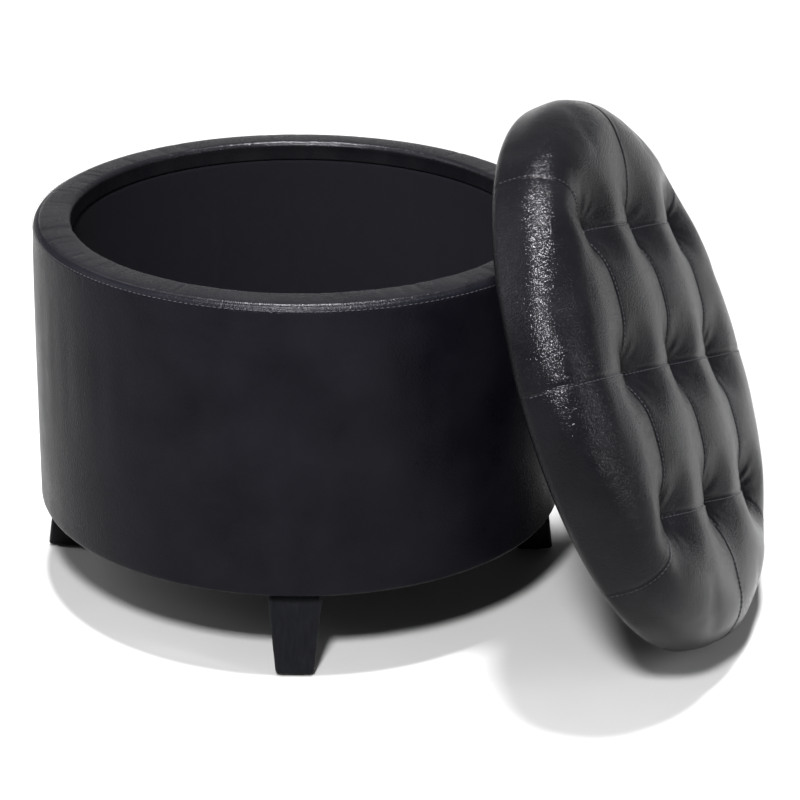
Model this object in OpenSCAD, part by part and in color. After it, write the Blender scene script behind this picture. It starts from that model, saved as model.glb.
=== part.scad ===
// Round storage ottoman: an upholstered tub on four splayed legs, with a loose tufted lid
// that leans on the tub's rim and on the floor.
// The floor is z = 0 and the tub's axis is x = y = 0. The front leg is on -Y.

/* [Tub] */
// Outer radius of the upholstered tub
body_r = 280; // [270:1:340]
// Height of the tub without its legs
body_h = 310; // [240:5:360]
// Thickness of the padded wall
wall_t = 40; // [38:1:60]
// Radius of the rim's outer edge
rim_round = 9; // [6:1:12]
// Radius of the rim's inner edge
rim_inner_round = 5; // [4:1:8]
// How far the rim's leather reaches down inside the tub
rim_drop = 20; // [20:1:60]
// How far round the outer edge the seam sits, measured from the outside, in degrees
seam_angle = 75; // [45:5:85]

/* [Legs] */
// Height of the legs with their glides
leg_h = 90; // [60:5:160]
// Width of a leg at its top
leg_top_w = 57; // [54:1:62]
// Width of a leg at its foot
leg_foot_w = 39; // [34:1:50]
// Distance of a leg's top from the tub's axis
leg_top_r = 238; // [225:0.5:238]
// Distance of a leg's foot from the tub's axis
leg_foot_r = 260; // [238:0.5:270]
// How far behind the middle the two side legs stand, in degrees
side_leg_turn = 7.5; // [0:0.5:12]
// Turn of all four legs about the tub's axis, in degrees
legs_turn = 1; // [-5:0.5:5]

/* [Lid] */
// Radius of the lid
lid_r = 287; // [281:1:350]
// Thickness of the lid at its crown
lid_t = 85; // [70:1:100]
// How far the lid leans over from level, in degrees
lid_tilt = 67; // [55:0.5:75]
// Direction in which the lid leans out, from +X, in degrees
lean_azimuth = -15; // [-60:1:60]
// How far the lid has slid along the rim from the point it leans on
lid_slip = -25; // [-40:1:40]
// Distance between neighbouring tufts
tuft_pitch = 146; // [100:1:150]
// Turn of the tuft grid about the lid's own axis, in degrees
tuft_turn = -18.5; // [-45:0.5:45]

/* [Sheets and boards] */
// Thickness of the leather
leather_t = 2; // [1.5:0.1:2.5]
// Thickness of the plywood floor
base_t = 15; // [12:1:18]
// Height of each plywood hoop
hoop_h = 20; // [15:1:30]
// Thickness of each hardboard skin
skin_t = 3; // [2:0.5:4]
// Thickness of the foam round the wall
wall_foam_t = 3; // [2:0.5:4]
// Thickness of the lid's board
lid_board_t = 12; // [9:1:18]

/* [Hidden] */

$fn = 96;
hull_fn = 32;

// Heights
rim_z = leg_h + body_h;
board_z = leg_h + leather_t;
floor_z = board_z + base_t;
hoop_top_z = rim_z - 18;
lining_t = 1;

// Radii of the wall's layers, from the inside out
inner_r = body_r - wall_t;
lining_r = inner_r + leather_t;
inner_skin_r = lining_r + lining_t;
frame_in_r = inner_skin_r + skin_t;
foam_out_r = body_r - leather_t;
foam_in_r = foam_out_r - wall_foam_t;
frame_out_r = foam_in_r - skin_t;

// Wall frame
stud_count = 8;
stud_w = 40;

// Underside
lip_w = 12;
lip_r = body_r - lip_w;
bottom_round = 4;
dust_gap = 0.5;
pad_gap = 0.3;

// Legs and their fixings
LEG_ANGLES = [for (a = [270, side_leg_turn, 90, 180 - side_leg_turn]) a + legs_turn];
leg_corner_r = 6;
leg_land = 1;
plate_w = 50;
plate_t = leather_t;
bolt_r = 4;
bolt_down = 38;
bolt_up = 12;
bolt_clear = 0.1;
screw_spread = 18;
screw_r = 1.9;
screw_head_r = 3.8;
screw_len = 14;
screw_clear = 0.1;
glide_r = 13;
glide_t = 3;

// Lid
lid_low_round = 12;
lid_side_h = 32;
lid_crown = 6;
lid_lip_r = lid_r - 34;
lid_board_r = lid_r - 14;
lid_lining_t = 1;
lid_under_gap = leather_t - lid_lining_t;
board_top = leather_t + lid_board_t;
tuft_low = 50;
tie_r = 0.8;
anchor_r = 9;
anchor_t = 2;
block_r = inner_r - 5;
block_in_r = block_r - 22;
block_w = 60;
block_h = 14;
block_screw_spread = 18;
block_screw_len = 22;
rim_gap = 0.5;
floor_gap = 0.4;

// Where the lid rests: its underside touches the rim's rounded edge and its own edge the floor
edge_r = body_r - rim_round;
touch_r = edge_r + (rim_round + rim_gap) * sin(lid_tilt);
touch_z = rim_z - rim_round + (rim_round + rim_gap) * cos(lid_tilt);
lid_z = (lid_r - lid_low_round) * sin(lid_tilt)
    + lid_low_round * (1 - cos(lid_tilt)) + floor_gap;
slope_run = (touch_z - lid_z) / sin(lid_tilt);
lid_x = touch_r + slope_run * cos(lid_tilt);

LEATHER = [0.035, 0.035, 0.04];
LINING = [0.09, 0.09, 0.10];
FOAM = [0.93, 0.88, 0.66];
PLYWOOD = [0.80, 0.66, 0.45];
HARDBOARD = [0.45, 0.31, 0.19];
STEEL = [0.72, 0.73, 0.75];
LEG_BLACK = [0.05, 0.05, 0.06];
CORD = [0.85, 0.84, 0.80];

// Points of an arc about [x, z], from angle a to angle b
function arc(x, z, r, a, b, steps = 8) =
    [for (i = [0:steps]) let (t = a + (b - a) * i / steps) [x + r * cos(t), z + r * sin(t)]];

// Half profile of the lid's bun, inset by a distance all round
function bun(inset = 0) =
    let (
        low = lid_low_round - inset,
        shoulder = lid_t - lid_side_h - lid_crown,
        side_r = lid_r - inset,
        shoulder_r = shoulder - inset,
        flat_r = lid_r - shoulder,
        steps = 6
    )
    concat(
        [[0, inset]],
        arc(lid_r - lid_low_round, lid_low_round, low, 270, 360, steps),
        arc(lid_r - shoulder, lid_side_h, shoulder_r, 0, 90, steps + 4),
        [for (i = [1:steps]) let (k = 1 - i / steps)
            [flat_r * k, lid_t - inset - lid_crown * k * k]]
    );

// Centres of the nine tufts in the lid's own plane
TUFTS = [for (i = [-1:1], j = [-1:1]) [i * tuft_pitch, j * tuft_pitch]];

module ring(r_out, r_in, z, h) {
    translate([0, 0, z]) difference() {
        cylinder(r = r_out, h = h);
        translate([0, 0, -1]) cylinder(r = r_in, h = h + 2);
    }
}

module around_legs() {
    for (a = LEG_ANGLES) rotate([0, 0, a]) children();
}

module at_plate_screws() {
    for (i = [-1, 1], j = [-1, 1])
        translate([leg_top_r + i * screw_spread, j * screw_spread, 0]) children();
}

module rounded_square(w, r) {
    hull() for (i = [-1, 1], j = [-1, 1])
        translate([i * (w / 2 - r), j * (w / 2 - r)]) circle(r = r, $fn = hull_fn);
}

// A countersunk screw with its head's flat face at z = 0, pointing up
module screw(shaft_r, head_r, length) {
    head_h = head_r - shaft_r;
    cylinder(r1 = head_r, r2 = shaft_r, h = head_h);
    translate([0, 0, head_h]) cylinder(r = shaft_r, h = length - head_h);
}

module place_lid() {
    rotate([0, 0, lean_azimuth]) translate([lid_x, lid_slip, lid_z]) rotate([0, lid_tilt, 0])
        children();
}

module at_tufts() {
    rotate([0, 0, tuft_turn]) for (p = TUFTS) translate([p[0], p[1], 0]) children();
}

module at_blocks() {
    for (a = [45:90:315]) rotate([0, 0, a]) children();
}

module at_block_screws() {
    at_blocks() for (j = [-1, 1])
        translate([(block_r + block_in_r) / 2, j * block_screw_spread, 0]) children();
}

// ---- Tub ----

module base_board() {
    color(PLYWOOD) difference() {
        translate([0, 0, board_z]) cylinder(r = frame_out_r, h = base_t);
        around_legs() {
            translate([leg_top_r, 0, board_z - 1]) cylinder(r = bolt_r + bolt_clear, h = bolt_up + 1);
            at_plate_screws() translate([0, 0, board_z - 1])
                cylinder(r = screw_r + screw_clear, h = screw_len - plate_t + 1);
        }
    }
}

module bottom_hoop() {
    color(PLYWOOD) ring(frame_out_r, frame_in_r, floor_z, hoop_h);
}

module top_hoop() {
    color(PLYWOOD) ring(frame_out_r, frame_in_r, hoop_top_z - hoop_h, hoop_h);
}

module wall_studs() {
    low = floor_z + hoop_h;
    high = hoop_top_z - hoop_h;
    color(PLYWOOD) intersection() {
        ring(frame_out_r, frame_in_r, low, high - low);
        for (i = [0:stud_count - 1]) rotate([0, 0, (i + 0.5) * 360 / stud_count])
            translate([frame_in_r - stud_w, -stud_w / 2, low]) cube([2 * stud_w, stud_w, high - low]);
    }
}

module inner_skin() {
    color(HARDBOARD) ring(frame_in_r, inner_skin_r, floor_z, hoop_top_z - floor_z);
}

module outer_skin() {
    color(HARDBOARD) ring(foam_in_r, frame_out_r, board_z, hoop_top_z - board_z);
}

module wall_foam() {
    color(FOAM) ring(foam_out_r, foam_in_r, board_z, hoop_top_z - board_z);
}

module wall_cover() {
    edge_z = rim_z - rim_round;
    color(LEATHER) rotate_extrude() polygon(concat(
        [[lip_r, leg_h]],
        arc(body_r - bottom_round, leg_h + bottom_round, bottom_round, 270, 360, 4),
        arc(edge_r, edge_z, rim_round, 0, seam_angle),
        arc(edge_r, edge_z, rim_round - leather_t, seam_angle, 0),
        [[foam_out_r, board_z], [lip_r, board_z]]
    ));
}

module rim_padding() {
    edge_z = rim_z - rim_round;
    inner_x = inner_r + rim_inner_round;
    inner_z = rim_z - rim_inner_round;
    color(FOAM) rotate_extrude() polygon(concat(
        [[lining_r + pad_gap, hoop_top_z], [foam_out_r - pad_gap, hoop_top_z]],
        arc(edge_r, edge_z, rim_round - leather_t - pad_gap, 0, 90),
        arc(inner_x, inner_z, rim_inner_round - leather_t - pad_gap, 90, 180)
    ));
}

module rim_cover() {
    edge_z = rim_z - rim_round;
    inner_x = inner_r + rim_inner_round;
    inner_z = rim_z - rim_inner_round;
    color(LEATHER) rotate_extrude() polygon(concat(
        arc(edge_r, edge_z, rim_round, seam_angle, 90, 3),
        arc(inner_x, inner_z, rim_inner_round, 90, 180),
        [[inner_r, rim_z - rim_drop], [lining_r, rim_z - rim_drop]],
        arc(inner_x, inner_z, rim_inner_round - leather_t, 180, 90),
        arc(edge_r, edge_z, rim_round - leather_t, 90, seam_angle, 3)
    ));
}

module wall_lining() {
    color(LINING) ring(inner_skin_r, lining_r, floor_z, hoop_top_z - floor_z);
}

module floor_lining() {
    color(LINING) translate([0, 0, floor_z]) cylinder(r = lining_r, h = lining_t);
}

module dust_cover() {
    color(LINING) difference() {
        translate([0, 0, board_z - lining_t]) cylinder(r = lip_r - dust_gap, h = lining_t);
        around_legs() translate([leg_top_r, 0, board_z])
            cube([plate_w + 2 * dust_gap, plate_w + 2 * dust_gap, 4 * lining_t], center = true);
    }
}

// ---- Legs ----

module leg(angle) {
    color(LEG_BLACK) rotate([0, 0, angle]) difference() {
        hull() {
            translate([leg_top_r, 0, leg_h - leg_land]) linear_extrude(leg_land)
                rounded_square(leg_top_w, leg_corner_r);
            translate([leg_foot_r, 0, glide_t]) linear_extrude(leg_land)
                rounded_square(leg_foot_w, leg_corner_r);
        }
        translate([leg_top_r, 0, leg_h - bolt_down]) cylinder(r = bolt_r + bolt_clear, h = bolt_down + 1);
    }
}

module leg_front() leg(LEG_ANGLES[0]);
module leg_right() leg(LEG_ANGLES[1]);
module leg_back() leg(LEG_ANGLES[2]);
module leg_left() leg(LEG_ANGLES[3]);

module leg_plates() {
    color(STEEL) around_legs() difference() {
        translate([leg_top_r - plate_w / 2, -plate_w / 2, leg_h]) cube([plate_w, plate_w, plate_t]);
        translate([leg_top_r, 0, leg_h - 1]) cylinder(r = bolt_r + bolt_clear, h = plate_t + 2);
        at_plate_screws() translate([0, 0, leg_h]) screw_hole();
    }
}

module screw_hole() {
    translate([0, 0, -screw_clear])
        screw(screw_r + screw_clear, screw_head_r + screw_clear, screw_len);
}

module hanger_bolts() {
    color(STEEL) around_legs() translate([leg_top_r, 0, leg_h - bolt_down + 1])
        cylinder(r = bolt_r, h = bolt_down + plate_t + bolt_up - 2);
}

module plate_screws() {
    color(STEEL) around_legs() at_plate_screws() translate([0, 0, leg_h])
        screw(screw_r, screw_head_r, screw_len - 1);
}

module foot_glides() {
    color(LEG_BLACK) around_legs() translate([leg_foot_r, 0, 0]) cylinder(r = glide_r, h = glide_t);
}

// ---- Lid ----

module lid_board() {
    color(PLYWOOD) place_lid() difference() {
        translate([0, 0, leather_t]) cylinder(r = lid_board_r, h = lid_board_t);
        at_tufts() {
            translate([0, 0, leather_t - 1]) cylinder(r = anchor_r + bolt_clear, h = anchor_t + 1);
            translate([0, 0, leather_t]) cylinder(r = tie_r + bolt_clear, h = lid_board_t + 1);
        }
        at_block_screws() translate([0, 0, leather_t - 1])
            cylinder(r = screw_r + screw_clear, h = block_screw_len - block_h);
    }
}

module lid_foam() {
    color(FOAM) place_lid() difference() {
        rotate_extrude() polygon(bun(leather_t));
        translate([0, 0, -1]) cylinder(r = lid_board_r, h = board_top + 1);
        at_tufts() cylinder(r = tie_r + bolt_clear, h = tuft_low);
    }
}

module lid_cover() {
    color(LEATHER) place_lid() difference() {
        rotate_extrude() polygon(bun());
        rotate_extrude() polygon(bun(leather_t));
        translate([0, 0, -1]) cylinder(r = lid_lip_r, h = leather_t + 2);
    }
}

module lid_lining() {
    color(LINING) place_lid() difference() {
        translate([0, 0, lid_under_gap]) cylinder(r = lid_lip_r - dust_gap, h = lid_lining_t);
        at_block_screws() cylinder(r = screw_r + screw_clear, h = 2 * leather_t);
    }
}

module tuft_ties() {
    color(CORD) place_lid() at_tufts() translate([0, 0, leather_t + anchor_t])
        cylinder(r = tie_r, h = tuft_low - leather_t - anchor_t - 1, $fn = hull_fn);
}

module tuft_anchors() {
    color(STEEL) place_lid() at_tufts() translate([0, 0, leather_t]) cylinder(r = anchor_r, h = anchor_t);
}

module locating_blocks() {
    color(PLYWOOD) place_lid() at_blocks() difference() {
        intersection() {
            ring(block_r, block_in_r, lid_under_gap - block_h, block_h);
            translate([block_in_r - block_h, -block_w / 2, -2 * block_h])
                cube([3 * block_h, block_w, 3 * block_h]);
        }
        for (j = [-1, 1]) translate([(block_r + block_in_r) / 2, j * block_screw_spread,
            lid_under_gap - block_h]) screw_hole_long();
    }
}

module screw_hole_long() {
    translate([0, 0, -screw_clear])
        screw(screw_r + screw_clear, screw_head_r + screw_clear, block_screw_len);
}

module block_screws() {
    color(STEEL) place_lid() at_block_screws() translate([0, 0, lid_under_gap - block_h])
        screw(screw_r, screw_head_r, block_screw_len - 2);
}

base_board();
bottom_hoop();
top_hoop();
wall_studs();
inner_skin();
outer_skin();
wall_foam();
wall_cover();
rim_padding();
rim_cover();
wall_lining();
floor_lining();
dust_cover();
leg_front();
leg_right();
leg_back();
leg_left();
leg_plates();
hanger_bolts();
plate_screws();
foot_glides();
lid_board();
lid_foam();
lid_cover();
lid_lining();
tuft_ties();
tuft_anchors();
locating_blocks();
block_screws();
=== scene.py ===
"""A round storage ottoman in black faux leather, its tufted lid leaning on the rim."""

import math

import bmesh
import bpy
import numpy as np
from mathutils import Matrix, Vector
from mathutils.bvhtree import BVHTree


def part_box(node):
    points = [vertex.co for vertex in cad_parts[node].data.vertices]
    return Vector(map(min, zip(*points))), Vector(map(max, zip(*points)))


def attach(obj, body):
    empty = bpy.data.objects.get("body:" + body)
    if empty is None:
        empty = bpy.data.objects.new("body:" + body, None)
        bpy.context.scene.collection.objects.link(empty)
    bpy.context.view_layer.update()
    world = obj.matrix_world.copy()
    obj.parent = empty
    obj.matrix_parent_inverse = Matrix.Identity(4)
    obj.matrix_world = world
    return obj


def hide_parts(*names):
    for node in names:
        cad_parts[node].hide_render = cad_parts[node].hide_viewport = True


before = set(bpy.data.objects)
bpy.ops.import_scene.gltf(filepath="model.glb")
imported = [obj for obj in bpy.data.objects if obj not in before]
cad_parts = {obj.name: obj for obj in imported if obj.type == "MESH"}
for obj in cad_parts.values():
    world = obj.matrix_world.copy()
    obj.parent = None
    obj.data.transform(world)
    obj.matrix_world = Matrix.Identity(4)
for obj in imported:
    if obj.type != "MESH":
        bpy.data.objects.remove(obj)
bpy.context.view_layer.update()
MM = 0.001
TAU = 2 * math.pi

# ---------------------------------------------------------------- sizes from the frame


def node_points(node):
    """A CAD node's vertices as an array."""
    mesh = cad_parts[node].data
    flat = np.empty(len(mesh.vertices) * 3)
    mesh.vertices.foreach_get("co", flat)
    return flat.reshape(-1, 3)


def ring_radii(node):
    """Smallest and largest distance of a node's vertices from the tub's axis."""
    points = node_points(node)
    radii = np.hypot(points[:, 0], points[:, 1])
    return radii.min(), radii.max()


BODY_R = ring_radii("wall_cover")[1]
RIM_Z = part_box("rim_cover")[1][2]
RIM_LOW_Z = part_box("rim_cover")[0][2]
BODY_LOW_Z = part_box("wall_cover")[0][2]
INNER_R = ring_radii("rim_cover")[0]
LINING_R = ring_radii("wall_lining")[0]
LINING_OUT_R = ring_radii("wall_lining")[1]
FLOOR_TOP_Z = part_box("floor_lining")[1][2]
FLOOR_LOW_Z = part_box("floor_lining")[0][2]
HOOP_TOP_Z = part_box("top_hoop")[1][2]
LIP_R = ring_radii("wall_cover")[0]
RIM_ROUND = 9 * MM
RIM_INNER_ROUND = 5 * MM
SEAM_ANGLE = math.radians(75)
TOPSTITCH_DROP = 8 * MM
WALL_JOIN_TURN = math.radians(75)
LINING_JOIN_TURN = math.radians(115)
LEATHER_T = 2 * MM
SHELL_T = 1.2 * MM
STITCH_W = 0.75 * MM
LEG_NODES = ("leg_front", "leg_right", "leg_back", "leg_left")


def lid_frame():
    """The lid's own axes from its flat lining: underside's centre, down-slope, across, normal."""
    points = node_points("lid_lining")
    centre = (points.min(axis=0) + points.max(axis=0)) / 2
    normal = np.linalg.svd(points - points.mean(axis=0), full_matrices=False)[2][2]
    normal = normal if normal[2] > 0 else -normal
    down = np.array([normal[2] * normal[0], normal[2] * normal[1], normal[2] ** 2 - 1])
    down /= np.linalg.norm(down)
    across = np.cross(normal, down)
    board = node_points("lid_cover")
    height = (board - centre) @ normal
    centre = centre + normal * height.min()
    return centre, down, across, normal


LID_C, LID_DOWN, LID_ACROSS, LID_N = lid_frame()


def lid_local(points):
    """Row-frame points in the lid's own axes."""
    return (np.asarray(points) - LID_C) @ np.array([LID_DOWN, LID_ACROSS, LID_N]).T


def lid_world(points):
    """Points in the lid's own axes, in the row frame."""
    return LID_C + np.asarray(points) @ np.array([LID_DOWN, LID_ACROSS, LID_N])


cover_local = lid_local(node_points("lid_cover"))
LID_R = np.hypot(cover_local[:, 0], cover_local[:, 1]).max()
LID_T = cover_local[:, 2].max()
LID_LIP_R = np.hypot(cover_local[:, 0], cover_local[:, 1])[cover_local[:, 2] < MM].min()
LID_LOW_ROUND = 12 * MM
LID_SIDE_H = 32 * MM
LID_CROWN = 6 * MM
INNER_CELLS, OUTER_CELLS = 36, 56


def tuft_grid():
    """Spacing of the tufts and the turn of their grid from down-slope, from the nine anchors."""
    points = lid_local(node_points("tuft_anchors"))[:, :2]
    centres = []
    while len(points):
        near = np.linalg.norm(points - points[0], axis=1) < 30 * MM
        centres.append(points[near].mean(axis=0))
        points = points[~near]
    centres = np.array(centres)
    middle = centres[np.argmin(np.linalg.norm(centres, axis=1))]
    away = np.linalg.norm(centres - middle, axis=1)
    pitch = np.sort(away)[1]
    arms = centres[(away > 0.5 * pitch) & (away < 1.2 * pitch)] - middle
    arm = arms[np.argmax(arms[:, 0])]
    return pitch, math.atan2(arm[1], arm[0])


PITCH, TUFT_TURN = tuft_grid()

# ---------------------------------------------------------------- materials


class Shader:
    """A small helper that adds and links nodes of one material."""

    def __init__(self, name):
        self.material = bpy.data.materials.new(name)
        self.material.use_nodes = True
        self.tree = self.material.node_tree
        self.bsdf = self.tree.nodes["Principled BSDF"]
        self.coords = self.add("ShaderNodeTexCoord").outputs["Object"]

    def add(self, kind, **settings):
        node = self.tree.nodes.new(kind)
        for key, value in settings.items():
            setattr(node, key, value)
        return node

    def link(self, source, target):
        self.tree.links.new(source, target)

    def scaled(self, factors):
        """Object coordinates stretched by a factor on each axis."""
        node = self.add("ShaderNodeMapping")
        node.inputs["Scale"].default_value = factors
        self.link(self.coords, node.inputs["Vector"])
        return node.outputs["Vector"]

    def noise(self, scale, detail=4.0, roughness=0.55, vector=None):
        node = self.add("ShaderNodeTexNoise")
        node.inputs["Scale"].default_value = scale
        node.inputs["Detail"].default_value = detail
        node.inputs["Roughness"].default_value = roughness
        self.link(vector or self.coords, node.inputs["Vector"])
        return node.outputs["Fac"]

    def cells(self, scale, feature="DISTANCE_TO_EDGE"):
        node = self.add("ShaderNodeTexVoronoi", feature=feature)
        node.inputs["Scale"].default_value = scale
        self.link(self.coords, node.inputs["Vector"])
        return node.outputs["Distance"]

    def wave(self, scale, direction, distortion):
        node = self.add("ShaderNodeTexWave", bands_direction=direction)
        node.inputs["Scale"].default_value = scale
        node.inputs["Distortion"].default_value = distortion
        self.link(self.coords, node.inputs["Vector"])
        return node.outputs["Fac"]

    def math(self, operation, a, b):
        node = self.add("ShaderNodeMath", operation=operation)
        for socket, value in zip(node.inputs, (a, b)):
            if isinstance(value, (int, float)):
                socket.default_value = value
            else:
                self.link(value, socket)
        return node.outputs[0]

    def spread(self, value, low, high, start=0.0, end=1.0):
        """A value mapped from start..end to low..high."""
        node = self.add("ShaderNodeMapRange")
        node.inputs["From Min"].default_value = start
        node.inputs["From Max"].default_value = end
        node.inputs["To Min"].default_value = low
        node.inputs["To Max"].default_value = high
        self.link(value, node.inputs["Value"])
        return node.outputs["Result"]

    def blend(self, value, stops):
        """A colour ramp over a value: a list of (position, colour)."""
        node = self.add("ShaderNodeValToRGB")
        ramp = node.color_ramp
        while len(ramp.elements) < len(stops):
            ramp.elements.new(0.5)
        for element, (position, colour) in zip(ramp.elements, stops):
            element.position = position
            element.color = (*colour, 1)
        self.link(value, node.inputs["Fac"])
        return node.outputs["Color"]

    def bump(self, height, depth, strength=1.0, under=None):
        node = self.add("ShaderNodeBump")
        node.inputs["Strength"].default_value = strength
        node.inputs["Distance"].default_value = depth
        self.link(height, node.inputs["Height"])
        if under is not None:
            self.link(under, node.inputs["Normal"])
        return node.outputs["Normal"]

    def finish(self, colour=None, roughness=None, normal=None, **constants):
        for value, socket in ((colour, "Base Color"), (roughness, "Roughness"), (normal, "Normal")):
            if value is not None:
                self.link(value, self.bsdf.inputs[socket])
        for name, value in constants.items():
            self.bsdf.inputs[name.replace("_", " ")].default_value = value
        return self.material


def leather(name, dark, light, rough_low, rough_high, depth, shine):
    """Pebbled faux leather, with the depth of its grain in metres."""
    s = Shader(name)
    grain = 1.8 * MM
    pebbles = s.spread(s.cells(1 / grain), 0, 1, end=0.35)
    speckle = s.noise(0.9 / grain, detail=1, roughness=0.4)
    mottle = s.noise(14, detail=5)
    creases = s.noise(90, detail=4, roughness=0.6)
    height = s.math("ADD", s.math("MULTIPLY", pebbles, 0.4), s.math("MULTIPLY", speckle, 1.3))
    height = s.math("ADD", height, s.math("MULTIPLY", creases, 0.3))
    colour = s.blend(mottle, [(0.3, dark), (0.72, light)])
    roughness = s.spread(s.noise(28, detail=5, roughness=0.65), rough_low, rough_high,
                         start=0.3, end=0.7)
    normal = s.bump(height, depth, strength=0.8, under=s.bump(mottle, 0.4 * MM, strength=0.5))
    return s.finish(colour, roughness, normal, Specular_IOR_Level=shine,
                    Specular_Tint=(0.96, 0.94, 1.0, 1.0))


def cloth(name, dark, light, thread, depth):
    """A plain woven fabric with threads of that width."""
    s = Shader(name)
    warp = s.wave(1 / (2 * thread), "Z", distortion=0.6)
    weft = s.wave(1 / (2 * thread), "DIAGONAL", distortion=0.6)
    weave = s.math("MULTIPLY", warp, weft)
    fleck = s.noise(260, detail=3)
    colour = s.blend(s.math("ADD", s.math("MULTIPLY", weave, 0.5), s.math("MULTIPLY", fleck, 0.5)),
                     [(0.2, dark), (0.8, light)])
    roughness = s.spread(fleck, 0.78, 0.95)
    normal = s.bump(weave, depth, strength=0.7)
    return s.finish(colour, roughness, normal, Specular_IOR_Level=0.1)


def painted_wood(name, dark, light):
    """Satin paint over an open grain that still shows through it."""
    s = Shader(name)
    grain = s.noise(60, detail=6, roughness=0.6, vector=s.scaled((6, 6, 0.5)))
    pores = s.noise(420, detail=3, roughness=0.5, vector=s.scaled((4, 4, 0.35)))
    colour = s.blend(grain, [(0.3, dark), (0.75, light)])
    roughness = s.spread(s.noise(45, detail=4), 0.3, 0.5, start=0.3, end=0.7)
    height = s.math("ADD", s.math("MULTIPLY", grain, 0.5), pores)
    return s.finish(colour, roughness, s.bump(height, 0.15 * MM, strength=0.5),
                    Specular_IOR_Level=0.06)


def board(name, dark, light, stretch, scale=30):
    """Bare plywood or hardboard with fibres along the axis that stretch makes longest."""
    s = Shader(name)
    fibre = s.noise(scale, detail=7, roughness=0.65, vector=s.scaled(stretch))
    specks = s.noise(900, detail=2)
    colour = s.blend(s.math("ADD", s.math("MULTIPLY", fibre, 0.8), s.math("MULTIPLY", specks, 0.2)),
                     [(0.3, dark), (0.7, light)])
    return s.finish(colour, s.spread(specks, 0.6, 0.85), s.bump(fibre, 0.2 * MM, strength=0.6))


def foam(name):
    """Open-cell upholstery foam."""
    s = Shader(name)
    pores = s.cells(1400, feature="SMOOTH_F1")
    colour = s.blend(s.noise(40, detail=4), [(0.3, (0.80, 0.72, 0.44)), (0.7, (0.90, 0.84, 0.60))])
    return s.finish(colour, s.spread(pores, 0.8, 1.0), s.bump(pores, 0.5 * MM, strength=0.9),
                    Specular_IOR_Level=0.2)


def steel(name):
    """Zinc-plated steel with a brushed lay and light stains."""
    s = Shader(name)
    brushed = s.noise(120, detail=4, roughness=0.5, vector=s.scaled((1, 12, 12)))
    stains = s.noise(60, detail=4)
    colour = s.blend(stains, [(0.3, (0.50, 0.51, 0.53)), (0.7, (0.68, 0.69, 0.71))])
    return s.finish(colour, s.spread(brushed, 0.25, 0.5), s.bump(brushed, 0.05 * MM, strength=0.4),
                    Metallic=1.0)


def plastic(name):
    """Black moulded nylon with a fine spark-eroded texture."""
    s = Shader(name)
    texture = s.noise(1800, detail=2)
    colour = s.blend(s.noise(50, detail=3),
                     [(0.3, (0.018, 0.018, 0.019)), (0.7, (0.032, 0.032, 0.034))])
    return s.finish(colour, s.spread(texture, 0.45, 0.7), s.bump(texture, 0.08 * MM, strength=0.5))


def thread(name, dark, light):
    """Twisted sewing thread or cord."""
    s = Shader(name)
    twist = s.wave(700, "DIAGONAL", distortion=1.5)
    colour = s.blend(twist, [(0.2, dark), (0.8, light)])
    return s.finish(colour, s.spread(twist, 0.5, 0.7), s.bump(twist, 0.2 * MM, strength=0.7),
                    Specular_IOR_Level=0.25)


def floor_paint(name):
    """Pale matt studio floor."""
    s = Shader(name)
    mottle = s.noise(3, detail=3)
    colour = s.blend(mottle, [(0.3, (0.215, 0.215, 0.215)), (0.7, (0.235, 0.235, 0.235))])
    normal = s.bump(s.noise(220, detail=3), 0.1 * MM, strength=0.2)
    return s.finish(colour, s.spread(mottle, 0.7, 0.85), normal, Specular_IOR_Level=0.2)


WALL_LEATHER = leather("wall_leather", (0.0015, 0.0015, 0.0024), (0.0031, 0.0030, 0.0043),
                       rough_low=0.26, rough_high=0.36, depth=0.32 * MM, shine=0.05)
RIM_LEATHER = leather("rim_leather", (0.0021, 0.0021, 0.0028), (0.0042, 0.0042, 0.0050),
                      rough_low=0.22, rough_high=0.32, depth=0.30 * MM, shine=0.13)
LID_LEATHER = leather("lid_leather", (0.0014, 0.0014, 0.0018), (0.0031, 0.0030, 0.0037),
                      rough_low=0.15, rough_high=0.20, depth=0.42 * MM, shine=0.075)
LINING = cloth("lining_fabric", (0.0015, 0.0015, 0.0027), (0.0052, 0.0052, 0.008),
               thread=0.5 * MM, depth=0.15 * MM)
DUST_CLOTH = cloth("dust_fabric", (0.010, 0.010, 0.010), (0.030, 0.030, 0.030),
                   thread=0.8 * MM, depth=0.2 * MM)
LEG_PAINT = painted_wood("leg_wood", (0.0012, 0.0013, 0.0019), (0.0031, 0.0033, 0.0045))
PLYWOOD = board("plywood", (0.46, 0.31, 0.16), (0.72, 0.55, 0.33), (1, 8, 8))
HARDBOARD = board("hardboard", (0.16, 0.09, 0.045), (0.27, 0.165, 0.09), (2, 2, 2), 70)
FOAM = foam("foam")
STEEL = steel("steel")
PLASTIC = plastic("glide_plastic")
BLACK_THREAD = thread("black_thread", (0.005, 0.005, 0.006), (0.022, 0.022, 0.026))
TIE_CORD = thread("tie_cord", (0.55, 0.53, 0.47), (0.82, 0.80, 0.74))

CAD_LOOKS = {
    "base_board": PLYWOOD, "bottom_hoop": PLYWOOD, "top_hoop": PLYWOOD, "wall_studs": PLYWOOD,
    "inner_skin": HARDBOARD, "outer_skin": HARDBOARD, "leg_plates": STEEL,
    "hanger_bolts": STEEL, "plate_screws": STEEL, "foot_glides": PLASTIC,
    "lid_board": PLYWOOD, "tuft_ties": TIE_CORD, "tuft_anchors": STEEL,
    "locating_blocks": PLYWOOD, "block_screws": STEEL,
}


def paint_cad_nodes():
    for node, material in CAD_LOOKS.items():
        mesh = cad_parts[node].data
        if not mesh.materials:
            mesh.materials.append(material)
        for index in range(len(mesh.materials)):
            mesh.materials[index] = material


# ---------------------------------------------------------------- mesh helpers


def into_scene(thing):
    bpy.context.scene.collection.objects.link(thing)


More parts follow.
